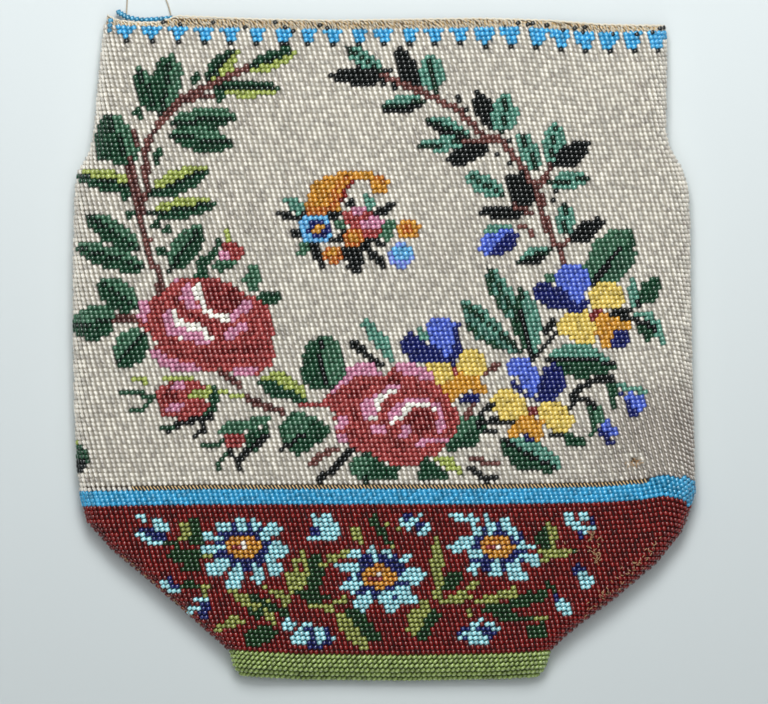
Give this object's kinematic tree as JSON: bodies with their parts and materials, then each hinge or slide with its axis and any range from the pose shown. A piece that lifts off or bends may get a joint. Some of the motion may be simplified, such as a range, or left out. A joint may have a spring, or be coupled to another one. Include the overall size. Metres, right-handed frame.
{
  "type": "reticule",
  "caption": "Flat bead-knitted pouch with an open mouth, a flower-wreath pattern on its front and a tapering bowl ending in a narrow base.",
  "frame": {"origin": "centre of the bag's outline, on the plane its back lies on", "axes": "+Y towards the open mouth, +X to the right of the patterned front, +Z out of the front"},
  "size_m": [0.1718, 0.196, 0.0092],
  "materials": {
    "tan_thread": "knitted tan thread, matt",
    "gold_thread": "looped gold-tan thread with a few steel beads",
    "cream_glass": "small clear cream beads, glossy",
    "sky_blue_glass": "opaque sky-blue beads, glossy",
    "garnet_glass": "transparent garnet beads, glossy",
    "pale_green_glass": "opaque pale green beads, glossy",
    "dark_green_glass": "transparent bottle-green beads, glossy",
    "mid_green_glass": "opaque mid-green beads, glossy",
    "yellow_green_glass": "opaque yellow-green beads, glossy",
    "black_glass": "opaque black beads, glossy",
    "teal_glass": "transparent teal beads, glossy",
    "brown_glass": "transparent brown beads, glossy",
    "crimson_glass": "transparent crimson beads, glossy",
    "pink_glass": "opaque pink beads, glossy",
    "white_glass": "opaque white beads, glossy",
    "royal_blue_glass": "opaque royal-blue beads, glossy",
    "navy_glass": "transparent navy beads, glossy",
    "yellow_glass": "opaque yellow beads, glossy",
    "amber_glass": "amber and orange beads, glossy",
    "aqua_glass": "opaque pale aqua beads, glossy",
    "olive_glass": "opaque olive beads, glossy",
    "forest_glass": "transparent forest-green beads, glossy"
  },
  "bodies": {
    "root": {"knit_ground": "tan_thread", "loose_thread": "tan_thread", "mouth_edging": "gold_thread", "cream_beads": "cream_glass", "blue_band": "sky_blue_glass", "garnet_beads": "garnet_glass", "green_base": "pale_green_glass", "border_triangles": "sky_blue_glass", "sky_blue_flowers": "sky_blue_glass", "dark_green_leaves": "dark_green_glass", "mid_green_leaves": "mid_green_glass", "yellow_green_leaves": "yellow_green_glass", "black_leaves": "black_glass", "teal_leaves": "teal_glass", "brown_stems": "brown_glass", "crimson_roses": "crimson_glass", "pink_petals": "pink_glass", "white_highlights": "white_glass", "royal_blue_petals": "royal_blue_glass", "navy_petals": "navy_glass", "yellow_petals": "yellow_glass", "amber_fields": "amber_glass", "daisy_petals": "aqua_glass", "olive_leaves": "olive_glass", "forest_green_leaves": "forest_glass"}
  },
  "joints": []
}
